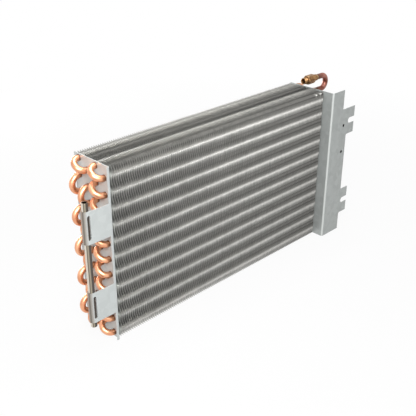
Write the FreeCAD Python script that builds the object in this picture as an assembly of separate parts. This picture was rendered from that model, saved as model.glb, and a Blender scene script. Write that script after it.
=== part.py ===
"""Air-cooled condenser coil: copper hairpins through a stack of fins, between two folded end plates.

All sizes are millimetres, +Z is up, -Y is the front and -X is the end with the hairpins' turns.
The origin is on the plane that the end plates stand on, at the middle of the overall length and depth.
Each hairpin is pushed in from the left, and at the right return bends are brazed into its bells.
The circuit is one path: in at the top of the second row, down the two front rows by turns,
across to the third row, up it, over to the back row and down it to the outlet at the bottom.
"""
import FreeCAD, Part

import math
import os

# Tube pattern: the spacing of the holes that the fins and both plates share
tube_pitch = 25.4
row_pitch = 19.05
tubes_per_row = 11
row_letters = "abcd"

# Copper tube: its bells, and the straight stubs between a turn and the plate or bell that it leaves
tube_diameter = 9.52
tube_wall = 0.5
bell_length = 6.0
bell_flare = 1.2
bell_wall = 0.5
hairpin_stub = 1.8
bend_stub = 2.0

# Fin stack
fin_pitch = 4.0
fin_thickness = 0.3
fin_groove_front = 3.0
fin_groove_top = 1.2
fin_split_from_front = 36.2
fin_split_width = 2.4
fin_split_depth = 6.0

# End plates, folded from sheet
plate_distance = 474.0
sheet_thickness = 1.2
fold_radius = 1.8
plate_over_fins = 0.3
plate_under_fins = 1.5
plate_behind_fins = 1.0
left_plate_reach = 3.0
left_lip_width = 5.4
right_plate_reach = 20.0
right_flange_width = 48.0

# Flange of the right plate: a narrow top, two hooks and two small drawn holes
flange_top_width = 33.0
hook_height = 50.0
hook_reach = 69.0
hook_spacing = 161.0
hook_notch_height = 10.6
hook_notch_floor = 51.0
hook_corner_radius = 3.0
flange_hole_diameter = 4.8
flange_hole_collar_length = 4.0
flange_hole_collar_wall = 0.8
flange_hole_spacing = 50.8
flange_hole_from_fold = 38.0
flange_hole_below_hook_top = 31.0
pattern_drop = 1.8

# Tabs of the left plate, rolled round the pivot tube
tab_height = 50.0
tab_spacing = 128.0
tab_slot_length = 37.5
tab_slot_width = 4.9
tab_slot_from_roll = -1.5
tab_roll_angle = 285.0
pivot_from_plate = 41.0
pivot_tube_diameter = 9.52
pivot_tube_wall = 1.5
pivot_tube_length = 199.0

# Inlet pipe, outlet pipe and their fittings
inlet_bend_radius = 12.0
inlet_bend_reach = 27.0
inlet_fitting_mouth = 26.0
outlet_pipe_length = 30.0
thread_diameter = 11.1
thread_length = 13.0
thread_relief = 0.8
thread_undercut = 1.6
hex_flats = 16.0
hex_length = 15.0
hex_chamfer = 0.8
neck_diameter = 11.4
neck_length = 11.0
neck_socket_depth = 9.0
fitting_bore = 5.5
flare_seat_width = 2.0

# Clearances
tube_in_fin = 0.05
tube_in_plate = 0.1
tube_in_bell = 0.05
bell_from_plate = 0.3
insert_from_bell_floor = 0.3
pivot_in_roll = 0.1
fin_from_plate = 0.8
pipe_in_socket = 0.05

# Sizes that follow from the ones above
X = FreeCAD.Vector(1, 0, 0)
Y = FreeCAD.Vector(0, 1, 0)
Z = FreeCAD.Vector(0, 0, 1)
tube_radius = tube_diameter / 2
bell_bore = tube_radius + tube_in_bell
bell_radius = bell_bore + bell_wall
fitting_length = thread_length + hex_length + neck_length
roll_radius = pivot_tube_diameter / 2 + pivot_in_roll + sheet_thickness
stack_x = (pivot_from_plate + roll_radius - hook_reach) / 2
stack_y = (right_plate_reach - plate_behind_fins) / 2
fin_depth = row_pitch * len(row_letters)
fin_height = tube_pitch * tubes_per_row
fin_front = stack_y - fin_depth / 2
fin_back = stack_y + fin_depth / 2
fin_bottom = plate_under_fins
fin_top = fin_bottom + fin_height
plate_top = fin_top + plate_over_fins
plate_back = fin_back + plate_behind_fins
left_inner = stack_x - plate_distance / 2
right_inner = stack_x + plate_distance / 2
left_outer = left_inner - sheet_thickness
right_outer = right_inner + sheet_thickness
left_front = fin_front - left_plate_reach
right_front = fin_front - right_plate_reach
feature_middle = (fin_bottom + fin_top) / 2 - pattern_drop


def tube_place(row, index):
    """Gives the y and z of a tube: every second row stands half a pitch higher."""
    high = row % 2
    y = fin_front + (row + 0.5) * row_pitch
    z = fin_top - (0.75 - 0.5 * high + index) * tube_pitch
    return y, z


def circuit():
    """Lists the tubes in the order in which the refrigerant runs through them, as (row, index) pairs."""
    down_front = [(row, index) for index in range(tubes_per_row) for row in (1, 0)]
    up_third = [(2, index) for index in reversed(range(tubes_per_row))]
    down_back = [(3, index) for index in range(tubes_per_row)]
    return down_front + up_third + down_back


def tube_name(tube):
    """Names a tube by its row letter, front to back, and its number from the top."""
    return row_letters[tube[0]] + str(tube[1] + 1)


def turned(points, x, side, y, z):
    """Turns a half section about a line along X: points are (distance along, radius), side is where it runs."""
    corners = [FreeCAD.Vector(x + side * along, y, z + radius) for along, radius in points]
    face = Part.Face(Part.makePolygon(corners + corners[:1]))
    solid = face.revolve(FreeCAD.Vector(x, y, z), X, 360)
    return solid if solid.Volume > 0 else solid.reversed()


def u_tube(turn_x, side, first, second, first_leg, second_leg):
    """A copper tube with a half turn at turn_x that bulges to side, and a straight leg at each end of it."""
    inward = FreeCAD.Vector(turn_x, *first)
    outward = FreeCAD.Vector(turn_x, *second)
    crown = (inward + outward) * 0.5 + X * side * (outward - inward).Length / 2
    start = inward - X * side * first_leg
    end = outward - X * side * second_leg
    turn = Part.Arc(inward, crown, outward).toShape()
    path = Part.Wire([Part.makeLine(start, inward), turn, Part.makeLine(outward, end)])
    outside, inside = [
        path.makePipeShell([Part.Wire(Part.Circle(start, X, radius).toShape())], True, True)
        for radius in (tube_radius, tube_radius - tube_wall)
    ]
    return outside.cut(inside)


def bell(tube):
    """The bell of a hairpin leg outside the right plate: a short flare, then a wide length that takes a tube."""
    outline = [
        (0, tube_radius - tube_wall),
        (0, tube_radius),
        (bell_flare, bell_radius),
        (bell_flare + bell_length, bell_radius),
        (bell_flare + bell_length, bell_bore),
        (bell_flare, bell_bore),
    ]
    return turned(outline, flare_start(), 1, *tube_place(*tube))


def tube_holes(x_from, x_to, clearance):
    """The cutters for every tube of the pattern between two places along X."""
    holes = []
    for row in range(len(row_letters)):
        for index in range(tubes_per_row):
            y, z = tube_place(row, index)
            base = FreeCAD.Vector(x_from, y, z)
            holes.append(Part.makeCylinder(tube_radius + clearance, x_to - x_from, base, X))
    return holes


def fin_stack():
    """The stack of fins: each rim stands free, the rest is one block, grooved where its two fin strips meet."""
    room = plate_distance - 2 * fin_from_plate - fin_thickness
    gaps = int(room / fin_pitch)
    length = gaps * fin_pitch + fin_thickness
    first = stack_x - length / 2
    core_corner = FreeCAD.Vector(first, fin_front + fin_groove_front, fin_bottom + fin_groove_top)
    core_depth = fin_depth - 2 * fin_groove_front
    core = Part.makeBox(length, core_depth, fin_height - 2 * fin_groove_top, core_corner)
    fins = []
    for number in range(gaps + 1):
        corner = FreeCAD.Vector(first + number * fin_pitch, fin_front, fin_bottom)
        fins.append(Part.makeBox(fin_thickness, fin_depth, fin_height, corner))
    block = core.fuse(fins).removeSplitter()
    split_y = fin_front + fin_split_from_front
    splits = []
    for z in (fin_bottom, fin_top - fin_split_depth):
        corner = FreeCAD.Vector(first - 1, split_y, z)
        splits.append(Part.makeBox(length + 2, fin_split_width, fin_split_depth, corner))
    return block.cut(splits + tube_holes(first - 1, first + length + 1, tube_in_fin))


def folded_plate(inner_x, outward, front_y, flange_width):
    """A plate whose front edge is folded outward: outward is -1 or 1, and the flange starts at inner_x."""
    outer_radius = fold_radius + sheet_thickness
    diagonal = math.sqrt(0.5)

    def at(away, behind):
        return FreeCAD.Vector(inner_x + outward * away, front_y + behind, 0)

    def fold(radius):
        start = at(outer_radius - radius, outer_radius)
        bulge = at(outer_radius - radius * diagonal, outer_radius - radius * diagonal)
        end = at(outer_radius, outer_radius - radius)
        return Part.Arc(start, bulge, end).toShape()

    back = plate_back - front_y
    outer_arc = fold(outer_radius)
    inner_arc = fold(fold_radius)
    outline = [
        Part.makeLine(at(0, back), at(0, outer_radius)),
        outer_arc,
        Part.makeLine(at(outer_radius, 0), at(flange_width, 0)),
        Part.makeLine(at(flange_width, 0), at(flange_width, sheet_thickness)),
        Part.makeLine(at(flange_width, sheet_thickness), at(outer_radius, sheet_thickness)),
        inner_arc,
        Part.makeLine(at(sheet_thickness, outer_radius), at(sheet_thickness, back)),
        Part.makeLine(at(sheet_thickness, back), at(0, back)),
    ]
    section = Part.Face(Part.Wire(Part.__sortEdges__(outline)))
    return section.extrude(Z * plate_top)


def rolled_tab(middle_z):
    """One tab of the left plate: a flat stretch of the lip that ends in a roll round the pivot tube."""
    bottom = middle_z - tab_height / 2
    axis_x = left_inner - pivot_from_plate
    roll_inner = roll_radius - sheet_thickness
    centre = FreeCAD.Vector(axis_x, left_front + roll_radius, bottom)
    flat_start = left_inner - fold_radius - sheet_thickness
    flat_corner = FreeCAD.Vector(axis_x, left_front, bottom)
    flat = Part.makeBox(flat_start - axis_x, sheet_thickness, tab_height, flat_corner)

    def on_roll(radius, degrees):
        turn = math.radians(-90 - degrees)
        return centre + FreeCAD.Vector(radius * math.cos(turn), radius * math.sin(turn), 0)

    def arc(radius):
        half = tab_roll_angle / 2
        return Part.Arc(on_roll(radius, 0), on_roll(radius, half), on_roll(radius, tab_roll_angle)).toShape()

    ends = [
        Part.makeLine(on_roll(roll_inner, 0), on_roll(roll_radius, 0)),
        Part.makeLine(on_roll(roll_inner, tab_roll_angle), on_roll(roll_radius, tab_roll_angle)),
    ]
    section = Part.Face(Part.Wire(Part.__sortEdges__([arc(roll_inner), arc(roll_radius)] + ends)))
    return flat.fuse(section.extrude(Z * tab_height))


def upright_slot(x_from, width, middle_z, length, y_from, y_to):
    """The cutter for a round-ended slot that stands upright in a sheet across Y."""
    radius = width / 2
    depth = y_to - y_from
    low = middle_z - length / 2 + radius
    high = middle_z + length / 2 - radius
    middle = x_from + radius
    body = Part.makeBox(width, depth, high - low, FreeCAD.Vector(x_from, y_from, low))
    ends = [Part.makeCylinder(radius, depth, FreeCAD.Vector(middle, y_from, z), Y) for z in (low, high)]
    return body.fuse(ends)


def left_end_plate():
    """The plate with the hairpins' turns: a narrow front lip, two rolled tabs and a hole for each tube."""
    plate = folded_plate(left_inner, -1, left_front, left_lip_width)
    tab_middles = [feature_middle + step * tab_spacing / 2 for step in (-1, 1)]
    plate = plate.fuse([rolled_tab(middle) for middle in tab_middles]).removeSplitter()
    slot_x = left_inner - pivot_from_plate + tab_slot_from_roll
    through = sheet_thickness * 1.5
    for middle in tab_middles:
        y_range = (left_front - 1, left_front + through)
        plate = plate.cut(upright_slot(slot_x, tab_slot_width, middle, tab_slot_length, *y_range))
    return plate.cut(tube_holes(left_outer - 1, left_inner + 1, tube_in_plate))


def hook(middle_z):
    """One hook of the right flange: a block of sheet with a round-floored notch open to the outside."""
    bottom = middle_z - hook_height / 2
    radius = hook_notch_height / 2
    start = right_flange_width - hook_corner_radius
    corner = FreeCAD.Vector(right_inner + start, right_front, bottom)
    block = Part.makeBox(hook_reach - start, sheet_thickness, hook_height, corner)
    notch_x = right_inner + hook_notch_floor + radius
    open_length = hook_reach - hook_notch_floor
    notch_corner = FreeCAD.Vector(notch_x, right_front - 1, middle_z - radius)
    notch = Part.makeBox(open_length, sheet_thickness + 2, hook_notch_height, notch_corner)
    floor_base = FreeCAD.Vector(notch_x, right_front - 1, middle_z)
    floor = Part.makeCylinder(radius, sheet_thickness + 2, floor_base, Y)
    return block.cut([notch, floor])


def inside_corner(middle_z):
    """The round fillet of sheet where the lower edge of a hook meets the flange."""
    radius = hook_corner_radius
    x = right_inner + right_flange_width
    z = middle_z - hook_height / 2
    square = Part.makeBox(radius, sheet_thickness, radius, FreeCAD.Vector(x, right_front, z - radius))
    base = FreeCAD.Vector(x + radius, right_front - 1, z - radius)
    return square.cut(Part.makeCylinder(radius, sheet_thickness + 2, base, Y))


def hole_collar(x, z):
    """The collar that is drawn out of the flange to the back round one of its holes, for a screw to bite in."""
    radius = flange_hole_diameter / 2 + flange_hole_collar_wall
    base = FreeCAD.Vector(x, right_front + sheet_thickness / 2, z)
    return Part.makeCylinder(radius, sheet_thickness / 2 + flange_hole_collar_length, base, Y)


def right_end_plate():
    """The plate with the return bends: a wide front flange with two hooks, two holes and a narrow top."""
    plate = folded_plate(right_inner, 1, right_front, right_flange_width)
    hook_middles = [feature_middle + step * hook_spacing / 2 for step in (-1, 1)]
    added = [hook(middle) for middle in hook_middles] + [inside_corner(middle) for middle in hook_middles]
    plate = plate.fuse(added).removeSplitter()
    hook_top = hook_middles[1] + hook_height / 2
    trim_corner = FreeCAD.Vector(right_inner + flange_top_width, right_front - 1, hook_top)
    trim_width = right_flange_width - flange_top_width + 1
    plate = plate.cut(Part.makeBox(trim_width, sheet_thickness + 2, plate_top - hook_top + 1, trim_corner))
    hole_x = right_inner + flange_hole_from_fold
    upper_hole = hook_top - flange_hole_below_hook_top
    hole_depth = sheet_thickness + flange_hole_collar_length + 2
    for z in (upper_hole, upper_hole - flange_hole_spacing):
        base = FreeCAD.Vector(hole_x, right_front - 1, z)
        hole = Part.makeCylinder(flange_hole_diameter / 2, hole_depth, base, Y)
        plate = plate.fuse(hole_collar(hole_x, z)).removeSplitter().cut(hole)
    return plate.cut(tube_holes(right_inner - 1, right_outer + 1, tube_in_plate))


def flare_start():
    """The x at which the bells outside the right plate begin."""
    return right_outer + bell_from_plate


def hairpin(first, second):
    """A hairpin: a tube with its turn outside the left plate and a bell beyond the right plate on each leg."""
    turn_x = left_outer - hairpin_stub
    leg = flare_start() - turn_x
    tube = u_tube(turn_x, -1, tube_place(*first), tube_place(*second), leg, leg)
    return tube.fuse([bell(first), bell(second)]).removeSplitter()


def insert_start():
    """The x at which a tube that is pushed into a bell ends."""
    return flare_start() + bell_flare + insert_from_bell_floor


def return_bend(first, second):
    """A return bend at the right end, its two ends seated in the bells of the hairpins that it joins."""
    turn_x = flare_start() + bell_flare + bell_length + bend_stub
    leg = turn_x - insert_start()
    return u_tube(turn_x, 1, tube_place(*first), tube_place(*second), leg, leg)


def inlet_pipe(tube):
    """The inlet pipe: out of its bell, half a turn up and back over the top of the fins into its fitting."""
    y, z = tube_place(*tube)
    turn_x = right_inner + inlet_bend_reach
    upper_end = right_inner - inlet_fitting_mouth + fitting_length - neck_socket_depth
    upper = (y, z + 2 * inlet_bend_radius)
    return u_tube(turn_x, 1, (y, z), upper, turn_x - insert_start(), turn_x - upper_end)


def outlet_pipe(tube):
    """The outlet pipe: a short straight length out of its bell."""
    inside = tube_radius - tube_wall
    outline = [(0, inside), (0, tube_radius), (outlet_pipe_length, tube_radius), (outlet_pipe_length, inside)]
    return turned(outline, insert_start(), 1, *tube_place(*tube))


def hexagon(x, side, y, z):
    """The spanner hexagon of a fitting, its corners turned off at both faces."""
    corner_radius = hex_flats / 2 / math.cos(math.radians(30))
    corners = []
    for step in range(6):
        turn = math.radians(60 * step + 30)
        across = corner_radius * math.cos(turn)
        corners.append(FreeCAD.Vector(x, y + across, z + corner_radius * math.sin(turn)))
    prism = Part.Face(Part.makePolygon(corners + corners[:1])).extrude(X * side * hex_length)
    crown = [
        (0, 0),
        (0, corner_radius - hex_chamfer),
        (hex_chamfer / 2, corner_radius),
        (hex_length - hex_chamfer / 2, corner_radius),
        (hex_length, corner_radius - hex_chamfer),
        (hex_length, 0),
    ]
    return prism.common(turned(crown, x, side, y, z))


def fitting(mouth_x, side, y, z):
    """A brass flare fitting: from its mouth at mouth_x the nose, thread, hexagon and neck run to side."""
    thread = thread_diameter / 2
    root = thread - thread_relief
    mouth = root - flare_seat_width
    hex_end = thread_length + hex_length
    outline = [
        (0, 0),
        (0, mouth),
        (root - mouth, root),
        (thread - mouth, thread),
        (thread_length - thread_undercut, thread),
        (thread_length - thread_undercut, root),
        (hex_end, root),
        (hex_end, neck_diameter / 2),
        (fitting_length, neck_diameter / 2),
        (fitting_length, 0),
    ]
    body = turned(outline, mouth_x, side, y, z).fuse(hexagon(mouth_x + side * thread_length, side, y, z))
    bore = Part.makeCylinder(fitting_bore / 2, fitting_length, FreeCAD.Vector(mouth_x, y, z), X * side)
    socket_start = FreeCAD.Vector(mouth_x + side * (fitting_length - neck_socket_depth), y, z)
    socket = Part.makeCylinder(tube_radius + pipe_in_socket, neck_socket_depth, socket_start, X * side)
    return body.cut([bore, socket]).removeSplitter()


def pivot_tube():
    """The steel tube that the tabs are rolled round, open at both ends and centred on the fins' height."""
    radius = pivot_tube_diameter / 2
    y = left_front + sheet_thickness + pivot_in_roll + radius
    bottom = (fin_bottom + fin_top - pivot_tube_length) / 2
    base = FreeCAD.Vector(left_inner - pivot_from_plate, y, bottom)
    outer = Part.makeCylinder(radius, pivot_tube_length, base, Z)
    return outer.cut(Part.makeCylinder(radius - pivot_tube_wall, pivot_tube_length, base, Z))


def build():
    """Builds every node and gives them as a dictionary of name to solid."""
    order = circuit()
    nodes = {
        "fin_stack": fin_stack(),
        "left_end_plate": left_end_plate(),
        "right_end_plate": right_end_plate(),
        "pivot_tube": pivot_tube(),
    }
    for first, second in zip(order[0::2], order[1::2]):
        nodes[f"hairpin_{tube_name(first)}_{tube_name(second)}"] = hairpin(first, second)
    for first, second in zip(order[1:-1:2], order[2:-1:2]):
        nodes[f"return_bend_{tube_name(first)}_{tube_name(second)}"] = return_bend(first, second)
    inlet = order[0]
    outlet = order[-1]
    inlet_y, inlet_z = tube_place(*inlet)
    outlet_y, outlet_z = tube_place(*outlet)
    outlet_mouth = insert_start() + outlet_pipe_length - neck_socket_depth + fitting_length
    nodes["inlet_pipe"] = inlet_pipe(inlet)
    inlet_mouth = right_inner - inlet_fitting_mouth
    nodes["inlet_fitting"] = fitting(inlet_mouth, 1, inlet_y, inlet_z + 2 * inlet_bend_radius)
    nodes["outlet_pipe"] = outlet_pipe(outlet)
    nodes["outlet_fitting"] = fitting(outlet_mouth, -1, outlet_y, outlet_z)
    return nodes


os.makedirs("parts", exist_ok=True)
for name, shape in build().items():
    shape.exportStep(f"parts/{name}.step")
    print(name, "solids", len(shape.Solids), "valid", shape.isValid(), "volume", round(shape.Volume, 1))
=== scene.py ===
"""Looks for an air-cooled condenser coil: fins, copper circuit, end plates, pivot tube and fittings.

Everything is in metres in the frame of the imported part. +Z is up, -Y is the front and -X is the end with the
hairpins' turns.
"""
import logging
import math
from collections.abc import Iterable, Sequence
from dataclasses import dataclass, field
from enum import Enum

import bpy
import numpy as np
from mathutils import Matrix, Vector

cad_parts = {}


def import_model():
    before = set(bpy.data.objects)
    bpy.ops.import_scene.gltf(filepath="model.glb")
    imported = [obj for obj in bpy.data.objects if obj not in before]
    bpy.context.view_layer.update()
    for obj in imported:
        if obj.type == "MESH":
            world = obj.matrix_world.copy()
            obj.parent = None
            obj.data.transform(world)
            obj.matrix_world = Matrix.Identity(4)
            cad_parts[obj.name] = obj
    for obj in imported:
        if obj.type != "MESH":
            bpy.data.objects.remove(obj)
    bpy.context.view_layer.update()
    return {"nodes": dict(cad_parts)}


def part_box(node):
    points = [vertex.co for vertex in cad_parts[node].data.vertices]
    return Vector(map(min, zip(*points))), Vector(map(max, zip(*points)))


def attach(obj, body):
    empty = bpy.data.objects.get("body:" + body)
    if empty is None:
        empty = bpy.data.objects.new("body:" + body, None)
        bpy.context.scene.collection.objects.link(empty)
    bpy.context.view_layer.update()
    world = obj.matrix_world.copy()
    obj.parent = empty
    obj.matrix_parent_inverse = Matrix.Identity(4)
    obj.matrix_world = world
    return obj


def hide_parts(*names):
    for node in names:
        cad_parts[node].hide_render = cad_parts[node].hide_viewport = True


LOG = logging.getLogger("condenser")
MM = 0.001
BODY = "root"
SEED = 11
WHITE = (1.0, 1.0, 1.0, 1.0)
PIVOT_AXIS_MM = (-288.97, -25.54)

Socket = bpy.types.NodeSocket
Stops = tuple[tuple[float, str], ...]
Tube = tuple[int, int]


class Slot(Enum):
    """The record's material slots, which the scene's own pieces are passed but don't use."""

    COPPER = "copper"
    BRASS = "brass"
    FIN = "fin_aluminium"
    STEEL = "tube_steel"


class Side(Enum):
    """The way a tube's turn bulges along X."""

    LEFT = -1
    RIGHT = 1


class Ahead(Enum):
    """The way that a turned piece runs."""

    RIGHT = (1.0, 0.0, 0.0)
    LEFT = (-1.0, 0.0, 0.0)
    UP = (0.0, 0.0, 1.0)


def linear(code: str) -> tuple[float, float, float, float]:
    """Turns an sRGB hex colour into linear light.

    Args:
        code: the colour as six hex digits, with or without a leading hash.

    Returns:
        Red, green, blue and an alpha of 1.
    """
    digits = code.lstrip("#")
    shares = [int(digits[i : i + 2], 16) / 255 for i in (0, 2, 4)]
    light = [s / 12.92 if s <= 0.04045 else ((s + 0.055) / 1.055) ** 2.4 for s in shares]
    return light[0], light[1], light[2], 1.0


def held(value: np.ndarray) -> np.ndarray:
    """Holds a share between 0 and 1."""
    return np.clip(value, 0, 1)


def angles(sides: int) -> np.ndarray:
    """The angles of evenly spaced points round a circle."""
    return np.linspace(0, 2 * math.pi, sides, endpoint=False)


def off_nearest(offset: np.ndarray, pitch: float) -> np.ndarray:
    """How far an offset lies from the nearest whole number of pitches."""
    return (offset + pitch / 2) % pitch - pitch / 2


def link_object(name: str, data: bpy.types.ID) -> bpy.types.Object:
    """Makes an object that holds the data and links it to the scene.

    Args:
        name: the object's name.
        data: what it holds.

    Returns:
        The new object.
    """
    made = bpy.data.objects.new(name, data)
    bpy.context.scene.collection.objects.link(made)
    return made


def add_node(
    tree: bpy.types.NodeTree,
    kind: str,
    settings: dict | None = None,
    values: dict | None = None,
    links: dict | None = None,
    stops: Sequence[tuple[float, str]] = (),
) -> bpy.types.Node:
    """Adds one node with its settings, socket values and incoming links.

    Args:
        tree: the node tree that gets the node.
        kind: the node's Blender type.
        settings: attributes of the node, by name.
        values: constants of its input sockets, by name or number.
        links: output sockets to join, by the name or number of the input that takes them.
        stops: places and hex colours of a colour ramp, in rising order.

    Returns:
        The new node.
    """
    node = tree.nodes.new(kind)
    for name, setting in (settings or {}).items():
        setattr(node, name, setting)
    for name, value in (values or {}).items():
        node.inputs[name].default_value = value
    for name, source in (links or {}).items():
        tree.links.new(source, node.inputs[name])
    for number, (place, code) in enumerate(stops):
        ramp = node.color_ramp.elements
        stop = ramp[number] if number < len(ramp) else ramp.new(place)
        stop.position = place
        stop.color = linear(code)
    return node


def blank_material(name: str) -> tuple[bpy.types.Material, bpy.types.NodeTree, bpy.types.Node]:
    """Makes a material that holds one Principled shader joined to its output.

    Args:
        name: the material's name.

    Returns:
        The material, its node tree and its shader.
    """
    material = bpy.data.materials.new(name)
    material.use_nodes = True
    tree = material.node_tree
    tree.nodes.clear()
    shader = add_node(tree, "ShaderNodeBsdfPrincipled")
    add_node(tree, "ShaderNodeOutputMaterial", links={"Surface": shader.outputs["BSDF"]})
    return material, tree, shader


def add_distance(tree: bpy.types.NodeTree, place: Socket, axis_mm: tuple[float, float]) -> Socket:
    """Adds the level distance from an upright line.

    Args:
        tree: the node tree.
        place: the object coordinates.
        axis_mm: the line's x and y.

    Returns:
        The socket of the distance.
    """
    off = add_node(
        tree,
        "ShaderNodeVectorMath",
        settings={"operation": "SUBTRACT"},
        values={1: (axis_mm[0] * MM, axis_mm[1] * MM, 0.0)},
        links={0: place},
    )
    flat = add_node(
        tree,
        "ShaderNodeVectorMath",
        settings={"operation": "MULTIPLY"},
        values={1: (1.0, 1.0, 0.0)},
        links={0: off.outputs[0]},
    )
    return add_node(
        tree, "ShaderNodeVectorMath", settings={"operation": "LENGTH"}, links={0: flat.outputs[0]}
    ).outputs["Value"]


def add_share_across(
    tree: bpy.types.NodeTree,
    place: Socket,
    axis_mm: tuple[float, float],
    radius_mm: float,
    sway_mm: float,
    slow_mm: float = 30.0,
) -> Socket:
    """Adds the share of the way across an upright round, along a level diagonal and bent by a slow noise.

    Args:
        tree: the node tree.
        place: the object coordinates.
        axis_mm: the round's middle, x and y.
        radius_mm: its radius.
        sway_mm: how far the noise bends the streaks.
        slow_mm: the size of the noise.

    Returns:
        The socket of the share, 0 at the back left side and 1 at the front right side.
    """
    slant = math.sqrt(0.5)
    middle = (axis_mm[0] - axis_mm[1]) * slant * MM
    across = add_node(
        tree,
        "ShaderNodeVectorMath",
        settings={"operation": "DOT_PRODUCT"},
        values={1: (slant, -slant, 0.0)},
        links={0: place},
    )
    slow = add_node(
        tree,
        "ShaderNodeTexNoise",
        values={"Scale": 1 / (slow_mm * MM), "Detail": 3.0},
        links={"Vector": place},
    )
    bent = add_node(
        tree,
        "ShaderNodeMath",
        settings={"operation": "MULTIPLY_ADD"},
        values={1: sway_mm * MM},
        links={0: slow.outputs["Fac"], 2: across.outputs["Value"]},
    )
    low = middle + (sway_mm / 2 - radius_mm) * MM
    high = middle + (sway_mm / 2 + radius_mm) * MM
    return add_node(
        tree,
        "ShaderNodeMapRange",
        values={"From Min": low, "From Max": high},
        links={"Value": bent.outputs[0]},
    ).outputs["Result"]


@dataclass(frozen=True)
class CopperFinish:
    """Drawn refrigeration copper: smooth, warm, with a faint cloudy oxide and blotches from handling."""

    name: str = "drawn_copper_tube"
    bright: str = "#F3B993"
    dull: str = "#E09A74"
    # Heat tint near the brazed joints, and painted shade where the tubes enter the left plate's holes.
    heat_and_shade: str = "#5E3220"
    roughness: float = 0.33
    cloud_mm: float = 14.0
    # The real drawing scratches are finer: they are drawn this coarse so that they show.
    scratch_mm: float = 1.2

    def make(self) -> bpy.types.Material:
        """Builds the material; an attribute darkens it with heat tint near joints and with painted shade in
        the left plate's holes.

        Returns:
            The material.
        """
        material, tree, shader = blank_material(self.name)
        place = add_node(tree, "ShaderNodeTexCoord").outputs["Object"]
        cloud = add_node(
            tree,
            "ShaderNodeTexNoise",
            values={"Scale": 1 / (self.cloud_mm * MM), "Detail": 4.0, "Roughness": 0.6},
            links={"Vector": place},
        )
        shade = add_node(
            tree,
            "ShaderNodeValToRGB",
            links={"Fac": cloud.outputs["Fac"]},
            stops=((0.35, self.dull), (0.62, self.bright)),
        )
        # The attribute: heat tint near joints and painted shade in the left plate's holes.
        heat = add_node(tree, "ShaderNodeAttribute", settings={"attribute_name": "stain_and_shade"})
        tint = add_node(
            tree,
            "ShaderNodeMix",
            settings={"data_type": "RGBA"},
            values={7: linear(self.heat_and_shade)},
            links={0: heat.outputs["Fac"], 6: shade.outputs["Color"]},
        )
        fine = add_node(
            tree,
            "ShaderNodeTexNoise",
            values={"Scale": 1 / (self.scratch_mm * MM), "Detail": 3.0},
            links={"Vector": place},
        )
        rough = add_node(
            tree,
            "ShaderNodeMapRange",
            values={
                "From Min": 0.3,
                "From Max": 0.7,
                "To Min": self.roughness - 0.05,
                "To Max": self.roughness + 0.12,
            },
            links={"Value": cloud.outputs["Fac"]},
        )
        bump = add_node(
            tree,
            "ShaderNodeBump",
            values={"Strength": 0.12, "Distance": 0.05 * MM},
            links={"Height": fine.outputs["Fac"]},
        )
        shader.inputs["Metallic"].default_value = 1.0
        tree.links.new(tint.outputs[2], shader.inputs["Base Color"])
        tree.links.new(rough.outputs["Result"], shader.inputs["Roughness"])
        tree.links.new(bump.outputs["Normal"], shader.inputs["Normal"])
        return material


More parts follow.
